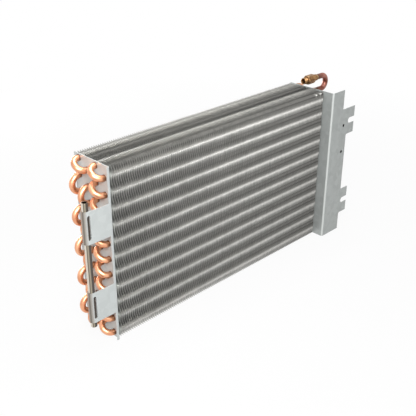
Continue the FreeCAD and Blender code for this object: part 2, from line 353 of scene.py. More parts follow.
@dataclass(frozen=True)
class SheetFinish:
    """Hot-dip galvanized sheet: pale grey zinc with faint patches of crystals and fine rolling lines."""

    name: str = "galvanized_steel_sheet"
    pale: str = "#B2B6B4"
    grey: str = "#A9ADAB"
    # Painted highlight along the folds.
    fold_highlight: str = "#D0D4D1"
    shadow: str = "#2A2B2A"
    roughness: float = 0.42
    spangle_mm: float = 9.0
    # The real rolling lines are finer: they are drawn this coarse so that they show.
    roll_mm: float = 0.8
    roll_long_mm: float = 60.0
    warp_mm: float = 6.0
    warp_share: float = 0.004
    bores_mm: tuple[tuple[float, float, float], ...] = ()
    bore_mm: float = 2.85
    rim_mm: float = 0.05
    roll_axis_mm: tuple[float, float] | None = None
    roll_radius_mm: float = 6.06
    # Painted shade and painted reflection in bands across the rolled sheet, from its back left to its front
    # right side.
    roll_shade_stops: Stops = (
        (0.0, "#A39386"),
        (0.16, "#9A8B80"),
        (0.27, "#68625A"),
        (0.34, "#6E6860"),
        (0.44, "#8E8880"),
        (0.56, "#A09D97"),
        (0.68, "#B0B0AD"),
        (0.8, "#C2C7C6"),
    )

    def add_roll_shade(
        self, tree: bpy.types.NodeTree, place: Socket, colour: Socket
    ) -> Socket:
        """Adds painted shade and painted reflection in bands across the sheet that is rolled round an upright
        tube, and nothing elsewhere.

        Args:
            tree: the node tree.
            place: the object coordinates.
            colour: the colour that the flat sheet has.

        Returns:
            The socket of the joined colour.
        """
        if self.roll_axis_mm is None:
            return colour
        share = add_share_across(tree, place, self.roll_axis_mm, self.roll_radius_mm, 0.9)
        roll_shade = add_node(tree, "ShaderNodeValToRGB", links={"Fac": share}, stops=self.roll_shade_stops)
        near = add_node(
            tree,
            "ShaderNodeMapRange",
            values={
                "From Min": (self.roll_radius_mm + 0.3) * MM,
                "From Max": (self.roll_radius_mm + 1.2) * MM,
                "To Min": 1.0,
                "To Max": 0.0,
            },
            links={"Value": add_distance(tree, place, self.roll_axis_mm)},
        )
        return add_node(
            tree,
            "ShaderNodeMix",
            settings={"data_type": "RGBA"},
            links={0: near.outputs["Result"], 6: colour, 7: roll_shade.outputs["Color"]},
        ).outputs[2]

    def in_bores(self, tree: bpy.types.NodeTree, place: Socket) -> Socket | float:
        """Adds a mask of painted shade that is 1 in the small bores and on a thin ring round each mouth, from
        the front face on.

        Args:
            tree: the node tree.
            place: the object coordinates.

        Returns:
            The mask's socket, or 0 where the sheet has no such bores.
        """
        mask: Socket | float = 0.0
        for x, front, z in self.bores_mm:
            off = add_node(
                tree,
                "ShaderNodeVectorMath",
                settings={"operation": "SUBTRACT"},
                values={1: (x * MM, front * MM, z * MM)},
                links={0: place},
            )
            flat = add_node(
                tree,
                "ShaderNodeVectorMath",
                settings={"operation": "MULTIPLY"},
                values={1: (1.0, 0.0, 1.0)},
                links={0: off.outputs[0]},
            )
            away = add_node(
                tree, "ShaderNodeVectorMath", settings={"operation": "LENGTH"}, links={0: flat.outputs[0]}
            )
            near = add_node(
                tree,
                "ShaderNodeMath",
                settings={"operation": "LESS_THAN"},
                values={1: self.bore_mm * MM},
                links={0: away.outputs["Value"]},
            )
            depth = add_node(tree, "ShaderNodeSeparateXYZ", links={"Vector": off.outputs[0]})
            behind = add_node(
                tree,
                "ShaderNodeMath",
                settings={"operation": "GREATER_THAN"},
                values={1: -self.rim_mm * MM},
                links={0: depth.outputs["Y"]},
            )
            inside = add_node(
                tree,
                "ShaderNodeMath",
                settings={"operation": "MULTIPLY"},
                links={0: near.outputs[0], 1: behind.outputs[0]},
            )
            before = {1: mask} if isinstance(mask, Socket) else {}
            mask = add_node(
                tree,
                "ShaderNodeMath",
                settings={"operation": "MAXIMUM"},
                values={1: 0.0},
                links={0: inside.outputs[0], **before},
            ).outputs[0]
        return mask

    def make(self) -> bpy.types.Material:
        """Builds the material: crystals differ a little, folds get a painted highlight and bores get painted
        shade.

        Returns:
            The material.
        """
        material, tree, shader = blank_material(self.name)
        place = add_node(tree, "ShaderNodeTexCoord").outputs["Object"]
        warp = add_node(
            tree,
            "ShaderNodeTexNoise",
            values={"Scale": 1 / (self.warp_mm * MM), "Detail": 2.0},
            links={"Vector": place},
        )
        bent = add_node(
            tree,
            "ShaderNodeMix",
            settings={"data_type": "RGBA"},
            values={0: self.warp_share},
            links={6: place, 7: warp.outputs["Color"]},
        )
        crystal = add_node(
            tree,
            "ShaderNodeTexVoronoi",
            values={"Scale": 1 / (self.spangle_mm * MM), "Randomness": 1.0},
            links={"Vector": bent.outputs[2]},
        )
        grey = add_node(
            tree, "ShaderNodeSeparateColor", links={"Color": crystal.outputs["Color"]}
        )
        shade = add_node(
            tree,
            "ShaderNodeValToRGB",
            links={"Fac": grey.outputs["Red"]},
            stops=((0.1, self.grey), (0.9, self.pale)),
        )
        rough = add_node(
            tree,
            "ShaderNodeMapRange",
            values={"To Min": self.roughness - 0.03, "To Max": self.roughness + 0.04},
            links={"Value": grey.outputs["Green"]},
        )
        stretch = add_node(
            tree,
            "ShaderNodeMapping",
            values={"Scale": (1 / (self.roll_mm * MM), 1 / (self.roll_mm * MM), 1 / (self.roll_long_mm * MM))},
            links={"Vector": place},
        )
        lines = add_node(
            tree,
            "ShaderNodeTexNoise",
            values={"Scale": 1.0, "Detail": 2.0},
            links={"Vector": stretch.outputs["Vector"]},
        )
        bump = add_node(
            tree,
            "ShaderNodeBump",
            values={"Strength": 0.1, "Distance": 0.03 * MM},
            links={"Height": lines.outputs["Fac"]},
        )
        # Painted highlight on the folds, where the face turns between the side and the front.
        facing = add_node(
            tree,
            "ShaderNodeSeparateXYZ",
            links={"Vector": add_node(tree, "ShaderNodeTexCoord").outputs["Normal"]},
        )
        diagonal = add_node(
            tree,
            "ShaderNodeMath",
            settings={"operation": "MULTIPLY"},
            links={0: facing.outputs["X"], 1: facing.outputs["Y"]},
        )
        on_fold = add_node(
            tree,
            "ShaderNodeMapRange",
            values={"From Min": 0.08, "From Max": 0.3},
            links={"Value": diagonal.outputs[0]},
        )
        fold_highlight = add_node(
            tree,
            "ShaderNodeMix",
            settings={"data_type": "RGBA"},
            values={7: linear(self.fold_highlight)},
            links={0: on_fold.outputs["Result"], 6: shade.outputs["Color"]},
        )
        # Painted shade in the small bores and round their mouths.
        mask = self.in_bores(tree, place)
        linked = {0: mask} if isinstance(mask, Socket) else {}
        darkened = add_node(
            tree,
            "ShaderNodeMix",
            settings={"data_type": "RGBA"},
            values={0: 0.0, 7: linear(self.shadow)},
            links={6: self.add_roll_shade(tree, place, fold_highlight.outputs[2]), **linked},
        )
        shader.inputs["Metallic"].default_value = 0.35
        tree.links.new(darkened.outputs[2], shader.inputs["Base Color"])
        tree.links.new(rough.outputs["Result"], shader.inputs["Roughness"])
        tree.links.new(bump.outputs["Normal"], shader.inputs["Normal"])
        return material


@dataclass(frozen=True)
class FinFinish:
    """Mill-finish aluminium foil: soft grey sheen, with painted shade between the fins, in streaks, on the
    pressed creases and towards the right end.
    """

    name: str = "aluminium_fin_stock"
    bright: str = "#EEEDE9"
    dull: str = "#DFDEDA"
    # Painted shade: the colour that the foil darkens to towards the right end, and where that starts and ends
    # along X.
    right_shade: str = "#9F9E9A"
    # The colour of the painted shade on the foil, and of the darkening along the top.
    darkening: str = "#4A4947"
    roughness: float = 0.28
    patch_mm: float = 22.0
    right_shade_x: tuple[float, float] = (-0.2, 0.26)
    # Painted shade in streaks across the fins: the streak noise's sizes along X, Y and Z, and its share.
    streak_mm: tuple[float, float, float] = (1.7, 70.0, 34.0)
    streak_share: float = 0.3
    tube_mm: float = 261.85
    pitch_mm: float = 25.4
    crease_x: tuple[float, float] = (-0.2, 0.2)
    crease_share: tuple[float, float] = (0.06, 0.72)
    # Painted shade: thin level lines below each front tube, as stops over one pitch upwards from a tube's
    # middle.
    crease_shade_stops: Stops = (
        (0.34, "#000000"),
        (0.385, "#B4B4B4"),
        (0.43, "#000000"),
        (0.53, "#000000"),
        (0.575, "#FFFFFF"),
        (0.605, "#FFFFFF"),
        (0.65, "#000000"),
        (0.78, "#000000"),
        (0.82, "#FFFFFF"),
        (0.85, "#FFFFFF"),
        (0.89, "#000000"),
    )

    def add_crease_shade(
        self, tree: bpy.types.NodeTree, height: Socket, along: Socket
    ) -> Socket:
        """Adds painted shade along the creases between the front tubes: thin level lines, deeper towards the
        right end.

        Args:
            tree: the node tree.
            height: the object's height coordinate.
            along: its coordinate along the tubes.

        Returns:
            The socket of the creases' share.
        """
        turns = add_node(
            tree,
            "ShaderNodeMapRange",
            settings={"clamp": False},
            values={"From Min": self.tube_mm * MM, "From Max": (self.tube_mm + self.pitch_mm) * MM},
            links={"Value": height},
        )
        part = add_node(
            tree,
            "ShaderNodeMath",
            settings={"operation": "FRACT"},
            links={0: turns.outputs["Result"]},
        )
        mask = add_node(tree, "ShaderNodeValToRGB", links={"Fac": part.outputs[0]}, stops=self.crease_shade_stops)
        deeper = add_node(
            tree,
            "ShaderNodeMapRange",
            values={
                "From Min": self.crease_x[0],
                "From Max": self.crease_x[1],
                "To Min": self.crease_share[0],
                "To Max": self.crease_share[1],
            },
            links={"Value": along},
        )
        return add_node(
            tree,
            "ShaderNodeMath",
            settings={"operation": "MULTIPLY"},
            links={0: mask.outputs["Color"], 1: deeper.outputs["Result"]},
        ).outputs[0]

    def make(self) -> bpy.types.Material:
        """Builds the material: dull patches, painted shade towards the right end, and painted shade in
        streaks, on the creases and by the attribute.

        Returns:
            The material.
        """
        material, tree, shader = blank_material(self.name)
        place = add_node(tree, "ShaderNodeTexCoord").outputs["Object"]
        patch = add_node(
            tree,
            "ShaderNodeTexNoise",
            values={"Scale": 1 / (self.patch_mm * MM), "Detail": 5.0, "Roughness": 0.65},
            links={"Vector": place},
        )
        shade = add_node(
            tree,
            "ShaderNodeValToRGB",
            links={"Fac": patch.outputs["Fac"]},
            stops=((0.35, self.dull), (0.65, self.bright)),
        )
        along = add_node(tree, "ShaderNodeSeparateXYZ", links={"Vector": place})
        # Painted shade that darkens the foil towards the right end; the same share also makes it rougher and
        # less metallic there.
        right_share = add_node(
            tree,
            "ShaderNodeMapRange",
            values={"From Min": self.right_shade_x[0], "From Max": self.right_shade_x[1]},
            links={"Value": along.outputs["X"]},
        )
        right_shaded = add_node(
            tree,
            "ShaderNodeMix",
            settings={"data_type": "RGBA"},
            values={7: linear(self.right_shade)},
            links={0: right_share.outputs["Result"], 6: shade.outputs["Color"]},
        )
        stretch = add_node(
            tree,
            "ShaderNodeMapping",
            values={"Scale": tuple(1 / (size * MM) for size in self.streak_mm)},
            links={"Vector": place},
        )
        streak = add_node(
            tree,
            "ShaderNodeTexNoise",
            values={"Scale": 1.0, "Detail": 2.0, "Roughness": 0.6},
            links={"Vector": stretch.outputs["Vector"]},
        )
        streaked = add_node(
            tree,
            "ShaderNodeMapRange",
            values={"From Min": 0.42, "From Max": 0.68, "To Max": self.streak_share},
            links={"Value": streak.outputs["Fac"]},
        )
        facing = add_node(
            tree,
            "ShaderNodeSeparateXYZ",
            links={"Vector": add_node(tree, "ShaderNodeTexCoord").outputs["Normal"]},
        )
        tilt = add_node(
            tree,
            "ShaderNodeMath",
            settings={"operation": "MULTIPLY"},
            links={0: facing.outputs["X"], 1: facing.outputs["Z"]},
        )
        level = add_node(
            tree,
            "ShaderNodeMapRange",
            values={"From Min": -0.35, "From Max": -0.1},
            links={"Value": tilt.outputs[0]},
        )
        # Painted shade in streaks, kept off the faces that tilt up towards the light.
        streak_shade = add_node(
            tree,
            "ShaderNodeMath",
            settings={"operation": "MULTIPLY"},
            links={0: streaked.outputs["Result"], 1: level.outputs["Result"]},
        )
        # Painted shade along the creases.
        crease_shade = self.add_crease_shade(tree, along.outputs["Z"], along.outputs["X"])
        # The attribute's darkening: painted shade between the foils and where the strips meet, and a darkening
        # along the top.
        dark_share = add_node(tree, "ShaderNodeAttribute", settings={"attribute_name": "stain_and_shade"})
        both = add_node(
            tree, "ShaderNodeMath", settings={"operation": "MAXIMUM"}, links={0: crease_shade, 1: streak_shade.outputs[0]}
        )
        worst = add_node(
            tree,
            "ShaderNodeMath",
            settings={"operation": "MAXIMUM"},
            links={0: dark_share.outputs["Fac"], 1: both.outputs[0]},
        )
        shade_and_darkening = add_node(
            tree,
            "ShaderNodeMix",
            settings={"data_type": "RGBA"},
            values={7: linear(self.darkening)},
            links={0: worst.outputs[0], 6: right_shaded.outputs[2]},
        )
        rough = add_node(
            tree,
            "ShaderNodeMapRange",
            values={"To Min": self.roughness, "To Max": self.roughness + 0.3},
            links={"Value": right_share.outputs["Result"]},
        )
        bare = add_node(
            tree,
            "ShaderNodeMapRange",
            values={"To Min": 0.85, "To Max": 0.6},
            links={"Value": right_share.outputs["Result"]},
        )
        tree.links.new(bare.outputs["Result"], shader.inputs["Metallic"])
        tree.links.new(shade_and_darkening.outputs[2], shader.inputs["Base Color"])
        tree.links.new(rough.outputs["Result"], shader.inputs["Roughness"])
        return material


@dataclass(frozen=True)
class PlainMetalFinish:
    """A turned or drawn metal part with a fine surface grain and slight tarnish."""

    name: str
    bright: str
    dull: str
    roughness: float
    tarnish_mm: float = 5.0
    # The real grain of turning and drawing is finer: it is drawn this coarse so that it shows.
    grain_mm: float = 0.6

    def make(self) -> bpy.types.Material:
        """Builds the material: small tarnish clouds and a fine grain in the roughness.

        Returns:
            The material.
        """
        material, tree, shader = blank_material(self.name)
        place = add_node(tree, "ShaderNodeTexCoord").outputs["Object"]
        cloud = add_node(
            tree,
            "ShaderNodeTexNoise",
            values={"Scale": 1 / (self.tarnish_mm * MM), "Detail": 4.0, "Roughness": 0.6},
            links={"Vector": place},
        )
        grain = add_node(
            tree,
            "ShaderNodeTexNoise",
            values={"Scale": 1 / (self.grain_mm * MM), "Detail": 2.0},
            links={"Vector": place},
        )
        shade = add_node(
            tree,
            "ShaderNodeValToRGB",
            links={"Fac": cloud.outputs["Fac"]},
            stops=((0.35, self.dull), (0.6, self.bright)),
        )
        rough = add_node(
            tree,
            "ShaderNodeMapRange",
            values={
                "From Min": 0.3,
                "From Max": 0.7,
                "To Min": self.roughness - 0.04,
                "To Max": self.roughness + 0.08,
            },
            links={"Value": grain.outputs["Fac"]},
        )
        bump = add_node(
            tree,
            "ShaderNodeBump",
            values={"Strength": 0.1, "Distance": 0.04 * MM},
            links={"Height": grain.outputs["Fac"]},
        )
        shader.inputs["Metallic"].default_value = 1.0
        tree.links.new(shade.outputs["Color"], shader.inputs["Base Color"])
        tree.links.new(rough.outputs["Result"], shader.inputs["Roughness"])
        tree.links.new(bump.outputs["Normal"], shader.inputs["Normal"])
        return material


@dataclass(frozen=True)
class SeamedTubeFinish:
    """Seam-welded steel tube, with a painted reflection that keeps its back left side pale, and painted shade
    in dark streaks towards its front right side.
    """

    name: str = "seam_welded_steel_tube"
    roughness: float = 0.3
    axis_mm: tuple[float, float] = PIVOT_AXIS_MM
    radius_mm: float = 4.76
    sway_mm: float = 0.7
    bore_shade: str = "#1E1A15"
    bore_shade_mm: float = 4.0
    # Painted reflection and painted shade across the tube: pale on the back left side, dark streaks towards
    # the front right.
    stops: Stops = (
        (0.0, "#CFC7BA"),
        (0.3, "#D8D0C2"),
        (0.42, "#5E564F"),
        (0.52, "#837A6A"),
        (0.64, "#A69D8A"),
        (0.78, "#564E49"),
        (0.92, "#4A443E"),
        (1.0, "#5E5046"),
    )

    def make(self) -> bpy.types.Material:
        """Builds the material: painted reflection and painted shade in streaks across the tube, and painted
        shade in the bore.

        Returns:
            The material.
        """
        material, tree, shader = blank_material(self.name)
        place = add_node(tree, "ShaderNodeTexCoord").outputs["Object"]
        share = add_share_across(tree, place, self.axis_mm, self.radius_mm, self.sway_mm)
        shade = add_node(tree, "ShaderNodeValToRGB", links={"Fac": share}, stops=self.stops)
        # Painted shade in the bore and on the inner part of the rim.
        within = add_node(
            tree,
            "ShaderNodeMath",
            settings={"operation": "LESS_THAN"},
            values={1: self.bore_shade_mm * MM},
            links={0: add_distance(tree, place, self.axis_mm)},
        )
        bore_shaded = add_node(
            tree,
            "ShaderNodeMix",
            settings={"data_type": "RGBA"},
            values={7: linear(self.bore_shade)},
            links={0: within.outputs[0], 6: shade.outputs["Color"]},
        )
        shader.inputs["Metallic"].default_value = 0.6
        shader.inputs["Roughness"].default_value = self.roughness
        tree.links.new(bore_shaded.outputs[2], shader.inputs["Base Color"])
        return material


@dataclass(frozen=True)
class Finishes:
    """The materials of all the pieces, made once."""

    copper: bpy.types.Material
    heated_copper: bpy.types.Material
    braze: bpy.types.Material
    brass: bpy.types.Material
    fin: bpy.types.Material
    collar: bpy.types.Material
    left_sheet: bpy.types.Material
    right_sheet: bpy.types.Material
    steel: bpy.types.Material

    @classmethod
    def make(cls) -> "Finishes":
        """Makes every material of the object.

        Returns:
            The finishes.
        """
        return cls(
            copper=CopperFinish().make(),
            heated_copper=CopperFinish(
                name="annealed_copper_pipe", bright="#A8766A", dull="#7C4A3E", heat_and_shade="#46301E", roughness=0.46
            ).make(),
            braze=PlainMetalFinish("brazing_alloy", "#BDB68C", "#8A845C", 0.38).make(),
            brass=PlainMetalFinish("turned_brass", "#AC865E", "#62462C", 0.4).make(),
            fin=FinFinish().make(),
            collar=PlainMetalFinish("drawn_aluminium_collar", "#E6E6E2", "#CFCFCA", 0.3).make(),
            # Painted light: the left plate is painted lighter than the right one, though both are the same
            # sheet.
            left_sheet=SheetFinish(
                name="galvanized_steel_sheet_rolled",
                pale="#C2C7C6",
                grey="#BCC1C0",
                fold_highlight="#C2C7C6",
                roll_axis_mm=PIVOT_AXIS_MM,
            ).make(),
            # Painted shade in the right plate's two small bores.
            right_sheet=SheetFinish(bores_mm=((264.03, -48.6, 213.9), (264.03, -48.6, 163.1))).make(),
            steel=SeamedTubeFinish().make(),
        )


def grid_quads(rows: int, columns: int, wrap_rows: bool = False, wrap_columns: bool = False) -> np.ndarray:
    """Lists the quads between neighbouring points of a grid whose points are numbered row by row.

    Args:
        rows: the number of rows of points.
        columns: the number of points in a row.
        wrap_rows: joins the last row back to the first.
        wrap_columns: joins the last column back to the first.

    Returns:
        An array of quads, four point numbers each, turned so that columns then rows run anticlockwise.
    """
    row = np.arange(rows if wrap_rows else rows - 1)[:, None]
    column = np.arange(columns if wrap_columns else columns - 1)[None, :]
    here, above = row * columns, (row + 1) % rows * columns
    beside = (column + 1) % columns
    quads = [here + column, here + beside, above + beside, above + column]
    return np.stack(np.broadcast_arrays(*quads), axis=-1).reshape(-1, 4)


@dataclass
class Surface:
    """Points and quads of a piece, joined from any number of grids."""

    points: list[np.ndarray] = field(default_factory=list)
    quads: list[np.ndarray] = field(default_factory=list)
    stain_and_shade: list[np.ndarray] = field(default_factory=list)
    count: int = 0

    def add(self, points: np.ndarray, quads: np.ndarray, stain_and_shade: np.ndarray | float = 0.0) -> None:
        """Adds one grid.

        Args:
            points: the grid's points, with x, y and z last.
            quads: its quads, numbered from 0.
            stain_and_shade: how far each point is darkened by heat tint and painted shade, 0 to 1, or one
                number for all.
        """
        flat = points.reshape(-1, 3)
        self.points.append(flat)
        self.quads.append(quads + self.count)
        self.stain_and_shade.append(np.broadcast_to(stain_and_shade, (len(flat),)))
        self.count += len(flat)

    def wrap(self, points: np.ndarray, stain_and_shade: np.ndarray | float = 0.0) -> "Surface":
        """Adds stations by sides by 3 as a shell that is closed both ways, and returns the surface."""
        self.add(points, grid_quads(*points.shape[:2], True, True), stain_and_shade)
        return self

    def piece(
        self,
        name: str,
        material: bpy.types.Material,
        slot: Slot,
        replaces: Sequence[str] = (),
        smooth: float = 40.0,
    ) -> None:
        """Makes the mesh object, rides it on the frame's body and hides the CAD nodes that it stands for.

        Args:
            name: the piece's name.
            material: its material.
            slot: not used.
            replaces: the CAD nodes that it stands for.
            smooth: edges sharper than this angle in degrees stay crisp.
        """
        points = np.concatenate(self.points)
        quads = np.concatenate(self.quads)
        mesh = bpy.data.meshes.new(name)
        mesh.vertices.add(len(points))
        mesh.vertices.foreach_set("co", points.astype(np.float32).ravel())
        mesh.loops.add(quads.size)
        mesh.loops.foreach_set("vertex_index", quads.astype(np.int32).ravel())
        mesh.polygons.add(len(quads))
        mesh.polygons.foreach_set("loop_start", np.arange(0, quads.size, 4, dtype=np.int32))
        mesh.update(calc_edges=True)
        mesh.validate()
        # Heat tint and painted shade, as a share that the materials darken by.
        stain_and_shade = mesh.attributes.new("stain_and_shade", "FLOAT", "POINT")
        stain_and_shade.data.foreach_set("value", np.concatenate(self.stain_and_shade).astype(np.float32))
        mesh.shade_smooth()
        mesh.set_sharp_from_angle(angle=math.radians(smooth))
        mesh.materials.append(material)
        piece = link_object(name, mesh)
        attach(piece, BODY)
        nodes = list(replaces)
        if nodes:
            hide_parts(*nodes)
        LOG.info("%s: %d points, %d quads", name, len(points), len(quads))


@dataclass(frozen=True)
class Places:
    """Where the tubes and plates are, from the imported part's own boxes and its hole pattern."""

    fin_low: np.ndarray
    fin_high: np.ndarray
    left_inner: float
    right_inner: float
    tube_pitch: float = 25.4 * MM
    row_pitch: float = 19.05 * MM
    per_row: int = 11
    letters: str = "abcd"
    sheet: float = 1.2 * MM

    @classmethod
    def from_frame(cls) -> "Places":
        """Reads the fin stack's box and the inner faces of both plates.

        Returns:
            The places.
        """
        low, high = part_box("fin_stack")
        return cls(
            fin_low=np.array(low),
            fin_high=np.array(high),
            left_inner=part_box("left_end_plate")[1].x,
            right_inner=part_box("right_end_plate")[0].x,
        )

    @property
    def left_outer(self) -> float:
        """The x of the left plate's outer face."""
        return self.left_inner - self.sheet

    @property
    def right_outer(self) -> float:
        """The x of the right plate's outer face."""
        return self.right_inner + self.sheet

    def tube(self, row: int, index: int) -> np.ndarray:
        """The y and z of a tube; every second row stands half a pitch higher.

        Args:
            row: the tube's row, 0 at the front.
            index: its number in the row, 0 at the top.

        Returns:
            The y and z.
        """
        y = self.fin_low[1] + (row + 0.5) * self.row_pitch
        z = self.fin_high[2] - (0.75 - 0.5 * (row % 2) + index) * self.tube_pitch
        return np.array([y, z])

    def circuit(self) -> list[Tube]:
        """The tubes in the order in which the refrigerant runs through them.

        Returns:
            Row and number of each tube.
        """
        down_front = [(row, index) for index in range(self.per_row) for row in (1, 0)]
        up_third = [(2, index) for index in reversed(range(self.per_row))]
        down_back = [(3, index) for index in range(self.per_row)]
        return down_front + up_third + down_back

    def name(self, tube: Tube) -> str:
        """A tube's name: its row letter, front to back, and its number from the top."""
        return self.letters[tube[0]] + str(tube[1] + 1)


@dataclass(frozen=True)
class TurnedTube:
    """A round tube with a half turn between two straight legs."""

    places: tuple[np.ndarray, np.ndarray]
    turn_x: float
    side: Side
    legs: tuple[float, float]
    flattening: float = 0.05

    @property
    def bend_radius(self) -> float:
        """Half the distance between the two legs."""
        return float(np.linalg.norm(self.places[1] - self.places[0])) / 2

    @property
    def length(self) -> float:
        """The length of the tube's middle line."""
        return self.legs[0] + math.pi * self.bend_radius + self.legs[1]

    def turn(self, steps: int, spare: float = 0.0) -> np.ndarray:
        """Distances through the half turn, with a little spare on both sides."""
        return self.legs[0] + np.linspace(-spare, math.pi * self.bend_radius + spare, steps)

    def stations(self, ends: np.ndarray, turn: np.ndarray) -> np.ndarray:
        """Distances along the tube that are alike from both ends, with the turn's between them."""
        return np.concatenate([ends, turn, self.length - ends[::-1]])

    def surface(self, stations: np.ndarray, radii: np.ndarray, sides: int = 24) -> np.ndarray:
        """Carries a circle of changing radius along the legs and the half turn.

        At distance s the turn's angle is t = (s - first leg) / bend radius, held between 0 and half a turn.
        The middle line is the turn's centre, plus the bend radius along the outward normal of t, plus the
        part of s that lies on a leg along the tangent. In the turn the circle is a little flat outside.

        Args:
            stations: distances along the middle line.
            radii: the radius at each station.
            sides: the number of points round the tube.

        Returns:
            Points as an array of stations by sides by 3.
        """
        first, second = (np.array([self.turn_x, *place]) for place in self.places)
        out = np.array([float(self.side.value), 0.0, 0.0])
        across = (second - first) / np.linalg.norm(second - first)
        bend = self.bend_radius
        turn = ((stations - self.legs[0]) / bend)[:, None]
        angle = np.clip(turn, 0, math.pi)
        normal = out * np.sin(angle) - across * np.cos(angle)
        tangent = across * np.sin(angle) + out * np.cos(angle)
        middle = (first + second) / 2 + bend * normal + (turn - angle) * bend * tangent
        binormal = np.cross(tangent, normal)
        turned = angles(sides)
        flat = 1 - self.flattening * np.sin(angle) ** 2 * held(np.cos(turned))
        along_normal = (radii[:, None] * np.cos(turned) * flat)[..., None] * normal[:, None]
        along_binormal = (radii[:, None] * np.sin(turned))[..., None] * binormal[:, None]
        return middle[:, None] + along_normal + along_binormal


def spun(
    middle: np.ndarray,
    along: Sequence[float],
    radii: Sequence[float] | np.ndarray,
    ahead: Ahead,
    sides: int = 32,
) -> np.ndarray:
    """Turns a profile about a line: the middle, plus a distance ahead, plus a radius round the line.

    Args:
        middle: the point on the line where the distances start.
        along: distances along the line.
        radii: a radius for each distance, or distances by sides for a shape that isn't round.
        ahead: the way the distances run.
        sides: the number of points round the line.

    Returns:
        Points as an array of distances by sides by 3.
    """
    turned = angles(sides)[:, None]
    line = np.array(ahead.value)
    first = np.array([0.0, 1.0, 0.0])
    round_line = np.cos(turned) * first + np.sin(turned) * np.cross(line, first)
    radii = np.asarray(radii)
    radius = np.broadcast_to(radii if radii.ndim == 2 else radii[:, None], (len(along), sides))
    return middle + np.asarray(along)[:, None, None] * line + radius[..., None] * round_line


@dataclass(frozen=True)
class FinStrip:
    """One strip of fin stock, two tube rows deep: its start, its columns and the row at its outer edge."""

    start: float
    columns_mm: tuple[float, ...]
    waves_mm: tuple[float, ...]
    outer_row: int
    rise_mm: tuple[float, ...]
    # Painted shade along each of the strip's columns, as a share.
    dark_share: tuple[float, ...]


